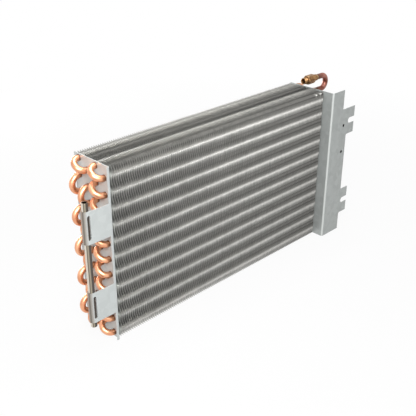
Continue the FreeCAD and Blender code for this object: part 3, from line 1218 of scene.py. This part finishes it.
@dataclass
class FinPack:
    """The stack of pressed foil fins, with the collars that space them on the tubes."""

    places: Places
    finishes: Finishes
    pitch: float = 4.0 * MM
    foil: float = 0.18 * MM
    sway: float = 0.3 * MM
    dish: float = 3.1 * MM
    group: int = 20
    split_from_front: float = 36.2 * MM
    split_width: float = 2.4 * MM
    collar_radius: float = 5.4 * MM
    collar_wall: float = 0.3 * MM
    edge_margin: float = 0.5 * MM
    bent_from_right_mm: tuple[float, ...] = (24.0, 12.5)
    bent_over: float = 3.6 * MM
    bent_down: float = 3.5 * MM
    bent_back: float = 4.5 * MM
    wave_up: float = 31 * MM
    wave_back: float = 23 * MM
    # Painted shade in the gaps between the foils and where the strips meet, and a darkening along the top:
    # shares, depths and reaches.
    gap_shade_share: float = 0.6
    gap_shade_deep_mm: tuple[float, ...] = (0.6, 3.0, 5.0, 8.0)
    gap_shade_deep_share: tuple[float, ...] = (0.0, 1.0, 1.0, 0.0)
    gap_shade_rise_mm: tuple[float, ...] = (-2.0, 3.0, 7.0, 11.0)
    gap_shade_rise_share: tuple[float, ...] = (1.0, 0.1, 0.1, 1.0)
    meeting_shade_reach: float = 3.0 * MM
    top_dark_reach: float = 6.0 * MM
    top_dark_back: float = 8.0 * MM
    dish_away_mm: tuple[float, ...] = (5.2, 6.2, 8.1, 10.8, 15.0)
    dish_share: tuple[float, ...] = (1.0, 0.94, 0.88, 0.0, 0.0)
    dish_share_below: tuple[float, ...] = (1.0, 0.9, 0.75, 0.5, 0.0)
    second_row_wider: float = 0.1
    second_row_flatter: float = 0.2

    def strips(self) -> tuple[FinStrip, FinStrip]:
        """The front and the back strip; a wave falls where the foil is bright and rises where it is dark.

        Returns:
            Both strips, the front one first.
        """
        start = self.places.fin_low[1]
        front = FinStrip(
            start=start,
            columns_mm=(0, 1.3, 3.0, 6.0, 8.4, 13, 20, 28, 32.2, 36.2),
            waves_mm=(1.5, 1.33, 1.53, 0.8, 0.2, 1.3, 1.25, 0.95, 0.4, 3.0),
            outer_row=0,
            rise_mm=(-13.0, -9.4, -5.8, -2.4, 0.6, 2.6, 4.4, 6.2, 8.0, 10.0),
            dark_share=(0, 0, 0, 0, 0.6, 0, 0, 0, 0, 0.5),
        )
        back = FinStrip(
            start=start + self.split_from_front + self.split_width,
            columns_mm=(0, 2.8, 6.4, 8.8, 13, 20, 28, 33, 37.6),
            waves_mm=(1.2, 2.7, 0.5, 1.1, 1.5, 1.4, 1.1, 0.9, 0.8),
            outer_row=3,
            rise_mm=(-10.2, -6.4, -2.0, 2.0, 6.4, 10.2),
            dark_share=(0.6, 0.2, 0, 0.6, 0, 0, 0.1, 0.25, 0.35),
        )
        return front, back

    def stations_up(self, strip: FinStrip) -> np.ndarray:
        """Heights of a strip's grid rows, set about the tubes of its outer row.

        Args:
            strip: the strip of fin stock.

        Returns:
            The heights, rising.
        """
        low, high = self.places.fin_low[2], self.places.fin_high[2]
        tubes = range(-1, self.places.per_row + 1)
        centres = np.array([self.places.tube(strip.outer_row, index)[1] for index in tubes])
        heights = (centres[:, None] + np.array(strip.rise_mm)[None, :] * MM).ravel()
        inside = heights[(heights > low + self.edge_margin) & (heights < high - self.edge_margin)]
        return np.concatenate([[low], np.sort(inside), [high]])

    def dished(self, y: np.ndarray, z: np.ndarray) -> np.ndarray:
        """How far the foil is drawn towards each tube's collar.

        The distance to the nearest tube's middle is read through two profiles of the pressing. Above a tube
        it is a steep foot round the collar, a flat ring, a step, then level foil. Below a tube the step is
        drawn out to a gentle slope. The upper profile's share is a quarter plus the sine of the way up, held
        to 0 and 1. Rows stand half a pitch apart in turn, and every second row is wider and flatter.

        Args:
            y: depths, as a column or row of a grid.
            z: heights, as the other side of that grid.

        Returns:
            Offsets along -X.
        """
        places = self.places
        deep = (y - places.fin_low[1]) / places.row_pitch - 0.5
        row = np.clip(np.round(deep), 0, len(places.letters) - 1)
        second = row % 2
        first_z = places.fin_high[2] - (0.75 - 0.5 * second) * places.tube_pitch
        above = off_nearest(z - first_z, places.tube_pitch)
        away = np.hypot((deep - row) * places.row_pitch, above) * (1 - self.second_row_wider * second)
        upper = held(0.25 + above / np.maximum(away, MM))
        stepped = np.interp(away / MM, self.dish_away_mm, self.dish_share)
        sloped = np.interp(away / MM, self.dish_away_mm, self.dish_share_below)
        depth = self.dish * (1 - self.second_row_flatter * second)
        return (upper * stepped + (1 - upper) * sloped) * depth

    def shaded(self, y: np.ndarray, z: np.ndarray) -> np.ndarray:
        """How much painted shade lies in the gap between two foils, behind its open front.

        It grows from nothing just behind the front edge to its full share a few millimetres in, and fades
        out further back, near the top, and on the bright step above each front tube.

        Args:
            y: depths, as a column or row of a grid.
            z: heights, as the other side of that grid.

        Returns:
            The painted shade's share at each point.
        """
        places = self.places
        deep = np.interp((y - places.fin_low[1]) / MM, self.gap_shade_deep_mm, self.gap_shade_deep_share)
        under = held((places.fin_high[2] - z) / (2 * MM) - 1)
        rise = off_nearest(z - places.tube(0, 0)[1], places.tube_pitch)
        step = np.interp(rise / MM, self.gap_shade_rise_mm, self.gap_shade_rise_share)
        return deep * under * step * self.gap_shade_share

    def shade_and_darkening(self, share: float, strip: FinStrip, y: np.ndarray, z: np.ndarray) -> np.ndarray:
        """The darkening on one sheet: painted shade where the strips meet, on the strip's own lines and in the
        gaps, and a darkening along the top.

        Args:
            share: the sheet's share of the way to the right end.
            strip: the strip that it is cut from.
            y: depths, as a row of the sheet's grid.
            z: heights, as its column.

        Returns:
            The worst of the four at each point.
        """
        low, high = self.places.fin_low, self.places.fin_high
        # Painted shade in the gap where the two strips meet.
        meeting = low[1] + self.split_from_front + self.split_width / 2
        shade_at_meeting = held(1.5 - np.abs(y - meeting) / self.meeting_shade_reach)
        # Painted shade along the strip's own columns, deeper towards the right end.
        lines = np.array(strip.dark_share)[None, :] * (0.4 + 0.6 * share)
        # Darker along the top behind the front, most at the left end.
        near_top = held(1 - (high[2] - z) / self.top_dark_reach) * max(0.0, 0.55 - 0.8 * share)
        on_top = near_top * held((y - low[1]) / self.top_dark_back - 1)
        return np.maximum(np.maximum(shade_at_meeting, lines), np.maximum(on_top, self.shaded(y, z)))

    def sheet(
        self, x: float, strip: FinStrip, wobble: np.ndarray
    ) -> tuple[np.ndarray, np.ndarray, np.ndarray]:
        """One foil strip as a closed thin shell.

        Its middle is x plus a wave in y, read from the strip's own table, less the dish round each tube, plus
        a slow bend of this sheet alone. A few sheets have their top front corner folded over: it shrinks to
        nothing a few millimetres down and back. Both faces lie half the foil off the middle, with a rim.

        Args:
            x: the sheet's place.
            strip: the strip's columns and wave.
            wobble: four small numbers that bend this sheet a little differently from its neighbours.

        Returns:
            The shell's points, its quads and the darkening at each point.
        """
        low, high = self.places.fin_low, self.places.fin_high
        z = self.stations_up(strip)[:, None]
        y = (strip.start + np.array(strip.columns_mm) * MM)[None, :]
        wave = np.array(strip.waves_mm)[None, :] * MM
        bend = wobble[0] * np.sin(z / self.wave_up + wobble[1]) * np.cos(y / self.wave_back + wobble[2])
        middle = x + wave - self.dished(y, z) + bend
        rows, columns = middle.shape
        depths, heights = np.broadcast_arrays(y, z)
        from_right = np.abs(self.places.right_inner - x - np.array(self.bent_from_right_mm) * MM)
        if strip.outer_row == 0 and from_right.min() < self.pitch / 2:
            near_top = held(1 - (high[2] - z) / self.bent_down)
            corner = near_top * held(1 - (y - strip.start) / self.bent_back) * self.bent_over
            middle = middle + corner
            heights = heights - corner * 0.4
        half = self.foil / 2
        faces = [np.stack([middle + off, depths, heights], axis=-1).reshape(-1, 3) for off in (-half, half)]
        side = grid_quads(rows, columns)
        total = rows * columns
        numbers = np.arange(total).reshape(rows, columns)
        loop = np.concatenate([numbers[0], numbers[1:, -1], numbers[-1, -2::-1], numbers[-2:0:-1, 0]])
        beside = np.roll(loop, -1)
        rim = np.stack([loop, loop + total, beside + total, beside], axis=-1)
        darkening = self.shade_and_darkening((x - low[0]) / (high[0] - low[0]), strip, y, z).ravel()
        quads = np.concatenate([side[:, ::-1], side + total, rim[:, ::-1]])
        return np.concatenate(faces), quads, np.tile(darkening, 2)

    def build(self) -> None:
        """Builds the fins in groups and the collars along every tube."""
        low, high = self.places.fin_low, self.places.fin_high
        gaps = round((high[0] - low[0]) / self.pitch)
        strips = self.strips()
        bulge = max(max(strip.waves_mm) for strip in strips) * MM
        slack = self.sway + self.foil
        middles = np.linspace(low[0] + self.dish + slack, high[0] - bulge - slack, gaps + 1)
        random = np.random.default_rng(SEED)
        for start in range(0, len(middles), self.group):
            surface = Surface()
            for x in middles[start : start + self.group]:
                wobble = random.uniform(-1, 1, 4) * np.array([self.sway, 3.0, 3.0, 1.0])
                for strip in strips:
                    surface.add(*self.sheet(x, strip, wobble))
            name = f"fins_{start // self.group + 1}"
            surface.piece(name, self.finishes.fin, Slot.FIN, ["fin_stack"], smooth=50)
        self.build_collars(low[0], high[0])

    def build_collars(self, x_from: float, x_to: float) -> None:
        """Makes the drawn collars as one sleeve along each tube: a circle carried along X.

        Args:
            x_from: where the sleeves start.
            x_to: where they end.
        """
        surface = Surface()
        length = x_to - x_from
        inner = self.collar_radius - self.collar_wall
        radii = (inner, self.collar_radius, self.collar_radius, inner)
        for row in range(len(self.places.letters)):
            for index in range(self.places.per_row):
                middle = np.array([x_from, *self.places.tube(row, index)])
                surface.wrap(spun(middle, (0.0, 0.0, length, length), radii, Ahead.RIGHT, 16))
        surface.piece("fin_collars", self.finishes.collar, Slot.FIN, ["fin_stack"])


@dataclass
class CopperCircuit:
    """Hairpins, return bends and the brazed joints between them."""

    places: Places
    finishes: Finishes
    radius: float = 4.76 * MM
    wall: float = 0.5 * MM
    left_stub: float = 1.8 * MM
    right_stub: float = 2.0 * MM
    bell_gap: float = 0.3 * MM
    flare: float = 1.2 * MM
    bell_length: float = 6.0 * MM
    bell_wall: float = 0.5 * MM
    fit: float = 0.05 * MM
    seat: float = 0.3 * MM
    rim: float = 0.15 * MM
    fillet: float = 1.4 * MM
    fillet_sides: int = 24
    fillet_over: float = 0.15 * MM
    fillet_lift: float = 0.02 * MM
    fillet_inside: float = 0.1 * MM
    fillet_back: float = 0.25 * MM
    past_bell: float = 3.0 * MM
    before_turn: float = 6.0 * MM
    turn_spare: float = 0.5 * MM
    bell_heat: float = 8.0 * MM
    bend_heat: float = 9.0 * MM
    # How far out from the left plate the painted shade at its holes reaches.
    hole_shade_reach: float = 4.5 * MM

    @property
    def bore(self) -> float:
        """The inner radius of the tubes."""
        return self.radius - self.wall

    @property
    def insert_start(self) -> float:
        """The x at which a bend or a pipe starts inside its bell."""
        return self.places.right_outer + self.bell_gap + self.flare + self.seat

    @property
    def mouth(self) -> float:
        """The x of the bells' mouths."""
        return self.places.right_outer + self.bell_gap + self.flare + self.bell_length

    def bent(self, first: Tube, second: Tube, turn_x: float, side: Side, leg: float) -> TurnedTube:
        """The tube that runs out of one place of the pattern and back into another."""
        return TurnedTube((self.places.tube(*first), self.places.tube(*second)), turn_x, side, (leg, leg))

    def hairpin(self, first: Tube, second: Tube) -> tuple[np.ndarray, np.ndarray]:
        """One hairpin with a bell on each leg, as a closed shell with its outside and its bore.

        Args:
            first: the tube that its first leg fills.
            second: the tube that its second leg fills.

        Returns:
            Points, and at each point the heat tint near the bells and the painted shade at the left plate's
            holes.
        """
        places = self.places
        turn_x = places.left_outer - self.left_stub
        leg = self.mouth - turn_x
        tube = self.bent(first, second, turn_x, Side.LEFT, leg)
        bell_in = self.radius + self.fit
        bell_out = bell_in + self.bell_wall
        edge = self.flare + self.bell_length
        ends = np.array(
            [0.0, self.rim, self.bell_length, edge, edge + self.past_bell, leg - self.before_turn]
        )
        end_radii = np.array([bell_out - self.rim, bell_out, bell_out, *[self.radius] * 3])
        turn = tube.turn(21, self.turn_spare)
        outer_r = np.concatenate([end_radii, np.full(len(turn), self.radius), end_radii[::-1]])
        inner_ends = np.array([0.0, self.bell_length, edge, leg - self.before_turn])
        inner_turn = tube.turn(9)
        inner_r = np.full(len(inner_turn) + 2 * len(inner_ends), self.bore)
        inner_r[[0, 1, -2, -1]] = bell_in
        stations = np.concatenate([tube.stations(ends, turn), tube.stations(inner_ends, inner_turn)[::-1]])
        points = tube.surface(stations, np.concatenate([outer_r, inner_r]))
        x = points[..., 0]
        at_bell = held((x - places.right_outer) / self.bell_heat + 0.2) * 0.75
        # Painted shade where the legs go into the left plate's holes.
        shade_at_hole = held((x - places.left_outer) / self.hole_shade_reach + 1)
        return points, np.where(x > places.right_inner, at_bell, shade_at_hole).ravel()

    def return_bend(self, first: Tube, second: Tube) -> tuple[np.ndarray, np.ndarray]:
        """One return bend whose ends sit in two bells.

        Args:
            first: the tube whose bell takes its first end.
            second: the tube whose bell takes its second end.

        Returns:
            Points and the heat at each point.
        """
        turn_x = self.mouth + self.right_stub
        leg = turn_x - self.insert_start
        tube = self.bent(first, second, turn_x, Side.RIGHT, leg)
        turn = tube.turn(21)
        outer_s = tube.stations(np.array([0.0, self.rim, leg - self.turn_spare]), turn)
        outer_r = np.full(len(outer_s), self.radius)
        outer_r[[0, -1]] -= self.rim
        inner_s = tube.stations(np.zeros(1), turn[::2])[::-1]
        stations = np.concatenate([outer_s, inner_s])
        points = tube.surface(stations, np.concatenate([outer_r, np.full(len(inner_s), self.bore)]))
        return points, (held(1 - (points[..., 0] - self.mouth) / self.bend_heat) * 0.8).ravel()

    def fillet_ring(self, tube: Tube, random: np.random.Generator) -> np.ndarray:
        """The ring of brazing alloy at a bell's mouth: a hollow curve from the bell's rim down to the tube.

        Its radius is the tube's, plus the wall of the bell times the square of what is left of its length,
        plus a few low waves round the tube, so that no two rings run out alike.

        Args:
            tube: the tube whose bell it closes.
            random: the source of the waves.

        Returns:
            The ring's points.
        """
        share = np.linspace(0, 1, 6)
        turned = angles(self.fillet_sides)
        waves = np.zeros(self.fillet_sides)
        for number in (1, 2, 3):
            height = random.uniform(-0.12, 0.12)
            waves += height * np.cos(number * turned + random.uniform(0, 6))
        rise = (self.bell_wall + self.fillet_over) * (1 - share[:, None]) ** 2 * (1 + waves[None, :])
        inner = np.full((2, self.fillet_sides), self.radius - self.fillet_inside)
        radii = np.concatenate([self.radius + self.fillet_lift + rise, inner])
        middle = np.array([self.mouth - self.fillet_back, *self.places.tube(*tube)])
        along = np.concatenate([share * self.fillet, [self.fillet, 0.0]])
        return spun(middle, along, radii, Ahead.RIGHT, self.fillet_sides)

    def build(self) -> None:
        """Builds every hairpin, every return bend and the brazed rings, following the circuit."""
        order = self.places.circuit()
        hairpins = [("hairpin", self.hairpin, pair) for pair in zip(order[0::2], order[1::2])]
        bends = [("return_bend", self.return_bend, pair) for pair in zip(order[1:-1:2], order[2:-1:2])]
        for kind, shape, (first, second) in hairpins + bends:
            node = f"{kind}_{self.places.name(first)}_{self.places.name(second)}"
            surface = Surface().wrap(*shape(first, second))
            surface.piece(f"copper_{node}", self.finishes.copper, Slot.COPPER, [node])
        random = np.random.default_rng(SEED + 1)
        rings = Surface()
        for tube in order:
            rings.wrap(self.fillet_ring(tube, random))
        rings.piece("brazed_rings", self.finishes.braze, Slot.COPPER)


@dataclass
class PivotTube:
    """The steel tube in the left plate's rolled tabs."""

    finishes: Finishes
    wall: float = 1.5 * MM
    edge: float = 0.25 * MM

    def build(self) -> None:
        """Builds the tube: outside, chamfered rims and bore, turned about its own upright line."""
        low, high = (np.array(corner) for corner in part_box("pivot_tube"))
        radius = (high[0] - low[0]) / 2
        bore = radius - self.wall
        length = high[2] - low[2]
        outside = [
            (0, radius - self.edge),
            (self.edge, radius),
            (length / 2, radius),
            (length - self.edge, radius),
            (length, radius - self.edge),
        ]
        inside = [
            (length, bore + self.edge),
            (length - self.edge, bore),
            (self.edge, bore),
            (0, bore + self.edge),
        ]
        along, radii = np.array(outside + inside).T
        middle = np.array([(low[0] + high[0]) / 2, (low[1] + high[1]) / 2, low[2]])
        surface = Surface().wrap(spun(middle, along, radii, Ahead.UP, 48))
        surface.piece("steel_pivot_tube", self.finishes.steel, Slot.STEEL, ["pivot_tube"])


@dataclass
class FlareFitting:
    """A brass flare fitting: seat, thread, spanner hexagon and the neck that is brazed to its pipe."""

    node: str
    ahead: Ahead
    finishes: Finishes
    thread_radius: float = 5.55 * MM
    thread_pitch: float = 1.27 * MM
    thread_depth: float = 0.75 * MM
    thread_length: float = 9.0 * MM
    seat_drop: float = 0.35 * MM
    seat_slope: float = 0.9
    undercut: float = 1.2 * MM
    flats: float = 14.3 * MM
    hex_length: float = 19.0 * MM
    hex_face: float = 6.9 * MM
    hex_slope: float = 1.6
    neck_radius: float = 5.7 * MM
    neck_length: float = 8.0 * MM
    neck_edge: float = 0.3 * MM
    bore: float = 2.75 * MM
    socket: float = 4.81 * MM
    socket_depth: float = 6.5 * MM
    sides: int = 48

    @property
    def root(self) -> float:
        """The radius at the foot of the thread."""
        return self.thread_radius - self.thread_depth

    def thread(self) -> tuple[np.ndarray, np.ndarray]:
        """The threaded length as radii over distance and angle.

        At distance a and angle t the place in the groove is the fraction of a / pitch less t / one turn. The
        radius is the root, plus the depth times a triangle wave of that place, clipped to small flats at
        crest and root, and nowhere more than a cone that starts at the seat.

        Returns:
            Distances and radii.
        """
        along = np.arange(0, self.thread_length - self.undercut, self.thread_pitch / 8)
        place = (along[:, None] / self.thread_pitch - angles(self.sides)[None, :] / (2 * math.pi)) % 1
        wave = held(1.3 * (1 - np.abs(2 * place - 1)) - 0.12)
        cone = self.thread_radius - self.seat_drop + along[:, None] * self.seat_slope
        return along, np.minimum(self.root + self.thread_depth * wave, cone)

    def hexagon(self) -> tuple[np.ndarray, np.ndarray]:
        """The spanner hexagon as radii over distance and angle.

        The radius is half the width over flats divided by the cosine of the angle from the flat's middle,
        and nowhere more than two cones that turn the corners off at both faces.

        Returns:
            Distances and radii.
        """
        near = np.array([0.0, 0.15, 0.35, 0.6, 0.9, 1.2]) * MM
        along = np.concatenate([near, self.hex_length - near[::-1]])
        sixth = math.pi / 3
        flat = self.flats / 2 / np.cos(angles(self.sides) % sixth - sixth / 2)
        chamfer = self.hex_face + self.hex_slope * np.minimum(along, self.hex_length - along)
        return self.thread_length + along, np.minimum(flat[None, :], chamfer[:, None])

    def round_rows(self, rows: Sequence[tuple[float, float]]) -> tuple[np.ndarray, np.ndarray]:
        """Distances, and radii that are the same all round, from pairs of the two."""
        along, radii = np.array(rows).T
        return along, np.repeat(radii[:, None], self.sides, axis=1)

    def build(self) -> None:
        """Builds the fitting as one closed surface, outside first and then its bore."""
        low, high = (np.array(corner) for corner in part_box(self.node))
        mouth = low[0] if self.ahead is Ahead.RIGHT else high[0]
        middle = np.array([mouth, (low[1] + high[1]) / 2, (low[2] + high[2]) / 2])
        hex_end = self.thread_length + self.hex_length
        length = hex_end + self.neck_length
        floor = length - self.socket_depth
        groove = [(self.thread_length - self.undercut, self.root), (self.thread_length, self.root)]
        neck = [
            (hex_end, self.neck_radius + self.neck_edge),
            (hex_end + self.neck_edge, self.neck_radius),
            (length - self.neck_edge, self.neck_radius),
            (length, self.neck_radius - self.neck_edge),
        ]
        inside = [
            (length, self.socket),
            (floor, self.socket),
            (floor, self.bore),
            (5.0 * MM, self.bore),
            (0.4 * MM, self.root - 0.55 * MM),
            (0.0, self.root - 0.25 * MM),
        ]
        parts = [self.thread(), self.round_rows(groove), self.hexagon(), self.round_rows(neck + inside)]
        along, radii = (np.concatenate(part) for part in zip(*parts))
        surface = Surface().wrap(spun(middle, along, radii, self.ahead, self.sides))
        surface.piece(f"brass_{self.node}", self.finishes.brass, Slot.BRASS, [self.node], smooth=32)
        self.build_joint(middle, length)

    def build_joint(self, middle: np.ndarray, length: float) -> None:
        """Adds the fillet of brazing alloy where the pipe leaves the neck: a hollow curve.

        Args:
            middle: the middle of the fitting's mouth.
            length: the fitting's length.
        """
        foot, inner = 4.78 * MM, 4.66 * MM
        start, end = length - 0.2 * MM, length + 1.6 * MM
        share = np.linspace(0, 1, 6)
        along = np.concatenate([start + share * (end - start), [end, start]])
        rise = (self.neck_radius - 0.4 * MM - foot) * (1 - share) ** 2
        radii = np.concatenate([foot + rise, [inner, inner]])
        surface = Surface().wrap(spun(middle, along, radii, self.ahead))
        surface.piece(f"brazed_{self.node}", self.finishes.braze, Slot.BRASS)


@dataclass
class Pipes:
    """The inlet pipe that turns back over the fins, and the straight outlet pipe."""

    places: Places
    finishes: Finishes
    circuit: CopperCircuit
    turn_reach: float = 27.0 * MM
    turn_radius: float = 12.0 * MM
    into_fitting: float = 9.0 * MM
    heat_reach: float = 9.0 * MM
    fitting_heat: float = 10.0 * MM
    first_station: float = 6.0 * MM
    last_station: float = 8.0 * MM
    sides: int = 32

    def build(self) -> None:
        """Builds both pipes from their bells to their fittings."""
        order = self.places.circuit()
        self.build_inlet(self.places.tube(*order[0]))
        self.build_outlet(self.places.tube(*order[-1]))

    def build_inlet(self, low_place: np.ndarray) -> None:
        """Builds the inlet: out of its bell, half a turn up and back into its fitting.

        Args:
            low_place: the y and z of the tube that it joins.
        """
        high_place = low_place + np.array([0.0, 2 * self.turn_radius])
        turn_x = self.places.right_inner + self.turn_reach
        fitting_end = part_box("inlet_fitting")[1].x
        legs = (turn_x - self.circuit.insert_start, turn_x - fitting_end + self.into_fitting)
        tube = TurnedTube((low_place, high_place), turn_x, Side.RIGHT, legs, flattening=0.06)
        turn = tube.turn(33)
        ends = [tube.length - self.last_station, tube.length]
        outer = np.concatenate([[0.0, self.first_station], turn, ends])
        inner = tube.stations(np.zeros(1), turn[::2])[::-1]
        stations = np.concatenate([outer, inner])
        radii = np.repeat([self.circuit.radius, self.circuit.bore], [len(outer), len(inner)])
        near_bell = held(1 - (stations - legs[0] * 0.4) / self.heat_reach)
        near_fitting = held(1 - (tube.length - self.into_fitting - stations) / self.fitting_heat)
        heat = np.repeat(np.maximum(near_bell, near_fitting * 0.8), self.sides)
        surface = Surface().wrap(tube.surface(stations, radii, self.sides), heat)
        surface.piece("copper_inlet_pipe", self.finishes.heated_copper, Slot.COPPER, ["inlet_pipe"])

    def build_outlet(self, place: np.ndarray) -> None:
        """Builds the outlet: a straight length out of its bell.

        Args:
            place: the y and z of the tube that it joins.
        """
        low, high = (np.array(corner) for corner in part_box("outlet_pipe"))
        radius, bore, length = self.circuit.radius, self.circuit.bore, high[0] - low[0]
        along = (0, 8 * MM, 16 * MM, length, length, 0)
        radii = (radius, radius, radius, radius, bore, bore)
        heat = np.repeat([1.0, 0.6, 0.3, 0.8, 0, 0], self.sides)
        points = spun(np.array([low[0], *place]), along, radii, Ahead.RIGHT, self.sides)
        surface = Surface().wrap(points, heat)
        surface.piece("copper_outlet_pipe", self.finishes.heated_copper, Slot.COPPER, ["outlet_pipe"])


@dataclass
class EndPlates:
    """The two folded end plates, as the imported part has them."""

    finishes: Finishes
    nodes: dict[str, bpy.types.Object]

    def dress(self) -> None:
        """Gives each plate its material."""
        sheets = {"left_end_plate": self.finishes.left_sheet, "right_end_plate": self.finishes.right_sheet}
        for name, sheet in sheets.items():
            mesh = self.nodes[name].data
            mesh.materials.clear()
            mesh.materials.append(sheet)
            LOG.info("%s: dressed as %s", name, sheet.name)


@dataclass
class Studio:
    """The plain pale floor, the soft lamps, the white surround and the camera at the photograph's angle."""

    image_px: int = 416
    focal_px: float = 715.6
    eye: tuple[float, float, float] = (-0.77205, -0.74288, 0.66040)
    azimuth: float = 44.888
    elevation: float = 26.689
    roll: float = 0.291
    floor_size: float = 30.0
    floor_drop: float = 0.4 * MM

    def build_camera(self) -> None:
        """Stands the camera where the photograph was taken from; its lens gives the photograph's scale."""
        turn, tip, lean = (math.radians(angle) for angle in (self.azimuth, self.elevation, self.roll))
        ahead = Vector((math.sin(turn) * math.cos(tip), math.cos(turn) * math.cos(tip), -math.sin(tip)))
        right = ahead.cross(Vector((0, 0, 1))).normalized()
        up = right.cross(ahead)
        right_turned = math.cos(lean) * right + math.sin(lean) * up
        up_turned = -math.sin(lean) * right + math.cos(lean) * up
        data = bpy.data.cameras.new("camera")
        data.sensor_width = 36.0
        data.lens = self.focal_px / self.image_px * data.sensor_width
        data.clip_end = 50.0
        camera = link_object("camera", data)
        columns = Matrix((right_turned, up_turned, -ahead)).transposed().to_4x4()
        camera.matrix_world = Matrix.Translation(Vector(self.eye)) @ columns
        bpy.context.scene.camera = camera

    def background_rays(self, tree: bpy.types.NodeTree) -> bpy.types.Node:
        """Adds a switch that is 1 for rays from the camera, off gloss or through glass.

        Args:
            tree: the node tree.

        Returns:
            The node whose output is the switch.
        """
        seen = add_node(tree, "ShaderNodeLightPath").outputs
        either = add_node(
            tree,
            "ShaderNodeMath",
            settings={"operation": "MAXIMUM"},
            links={0: seen["Is Camera Ray"], 1: seen["Is Glossy Ray"]},
        )
        return add_node(
            tree,
            "ShaderNodeMath",
            settings={"operation": "MAXIMUM"},
            links={0: either.outputs[0], 1: seen["Is Transmission Ray"]},
        )

    def build_floor(self) -> None:
        """Lays a floor that the camera and glossy metal see as nearly white, and that keeps a soft shadow."""
        half = self.floor_size / 2
        span = np.linspace(-half, half, 3)
        x, y = np.meshgrid(span, span)
        points = np.stack([x, y, np.full_like(x, -self.floor_drop)], axis=-1).reshape(-1, 3)
        mesh = bpy.data.meshes.new("floor")
        mesh.from_pydata(points.tolist(), [], grid_quads(3, 3).tolist())
        material = bpy.data.materials.new("pale_floor")
        material.use_nodes = True
        tree = material.node_tree
        tree.nodes.clear()
        shown = self.background_rays(tree)
        place = add_node(tree, "ShaderNodeTexCoord").outputs["Object"]
        away = add_node(tree, "ShaderNodeVectorMath", settings={"operation": "LENGTH"}, links={0: place})
        blown = add_node(
            tree,
            "ShaderNodeMapRange",
            values={"From Min": 0.45, "From Max": 1.2, "To Min": 0.93, "To Max": 1.0},
            links={"Value": away.outputs["Value"]},
        )
        share = add_node(
            tree,
            "ShaderNodeMath",
            settings={"operation": "MULTIPLY"},
            links={0: shown.outputs[0], 1: blown.outputs["Result"]},
        )
        matt = add_node(tree, "ShaderNodeBsdfDiffuse", values={"Color": linear("#C4C4C4")})
        glow = add_node(tree, "ShaderNodeEmission", values={"Color": WHITE, "Strength": 1.0})
        mixed = add_node(
            tree,
            "ShaderNodeMixShader",
            links={0: share.outputs[0], 1: matt.outputs["BSDF"], 2: glow.outputs["Emission"]},
        )
        add_node(tree, "ShaderNodeOutputMaterial", links={"Surface": mixed.outputs["Shader"]})
        mesh.materials.append(material)
        floor = link_object("floor", mesh)

    def build_world(self) -> None:
        """Makes the surround: white where rays show the background, and a faint white fill otherwise."""
        world = bpy.data.worlds.new("studio")
        bpy.context.scene.world = world
        world.use_nodes = True
        tree = world.node_tree
        tree.nodes.clear()
        shown = self.background_rays(tree)
        fill = add_node(tree, "ShaderNodeBackground", values={"Color": WHITE, "Strength": 0.06})
        white = add_node(tree, "ShaderNodeBackground", values={"Color": WHITE, "Strength": 1.0})
        mixed = add_node(
            tree,
            "ShaderNodeMixShader",
            links={0: shown.outputs[0], 1: fill.outputs["Background"], 2: white.outputs["Background"]},
        )
        add_node(tree, "ShaderNodeOutputWorld", links={"Surface": mixed.outputs["Shader"]})

    def add_softbox(
        self, name: str, place: Sequence[float], aim: Sequence[float], size: Sequence[float], watts: float
    ) -> None:
        """Hangs one large rectangular lamp.

        Args:
            name: the lamp's name.
            place: where its middle is.
            aim: the point that it faces.
            size: its width and height.
            watts: its power.
        """
        data = bpy.data.lights.new(name, "AREA")
        data.shape = "RECTANGLE"
        data.size, data.size_y = size
        data.energy = watts
        lamp = link_object(name, data)
        lamp.visible_camera = False
        lamp.location = Vector(place)
        lamp.rotation_euler = (Vector(aim) - Vector(place)).to_track_quat("-Z", "Y").to_euler()

    def build(self) -> None:
        """Builds the whole studio."""
        bpy.context.scene.view_settings.view_transform = "Standard"
        self.build_camera()
        self.build_floor()
        self.build_world()
        self.add_softbox("overhead", (0.0, 0.0, 1.7), (0, 0, 0.2), (1.4, 1.0), 28.0)
        self.add_softbox("key", (-0.70, -0.65, 0.85), (-0.15, 0, 0.15), (0.4, 0.4), 11.5)
        self.add_softbox("side", (-0.9, -0.37, 0.56), (-0.25, 0, 0.15), (0.4, 0.4), 2.2)
        self.add_softbox("rear", (0.1, 1.3, 0.2), (0.0, 0.05, 0.14), (0.8, 0.3), 10.0)


def main() -> None:
    """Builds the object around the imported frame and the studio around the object."""
    logging.basicConfig(level=logging.INFO, format="%(name)s %(message)s")
    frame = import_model()
    places = Places.from_frame()
    finishes = Finishes.make()
    Studio().build()
    FinPack(places, finishes).build()
    circuit = CopperCircuit(places, finishes)
    circuit.build()
    Pipes(places, finishes, circuit).build()
    FlareFitting("inlet_fitting", Ahead.RIGHT, finishes).build()
    FlareFitting("outlet_fitting", Ahead.LEFT, finishes).build()
    PivotTube(finishes).build()
    EndPlates(finishes, frame["nodes"]).dress()
    added = [o.data for o in bpy.context.scene.objects if o.type == "MESH" and o.name not in frame["nodes"]]
    for mesh in added:
        mesh.calc_loop_triangles()
    LOG.info("%d meshes added, %d triangles", len(added), sum(len(mesh.loop_triangles) for mesh in added))


if __name__ == "__main__":
    main()
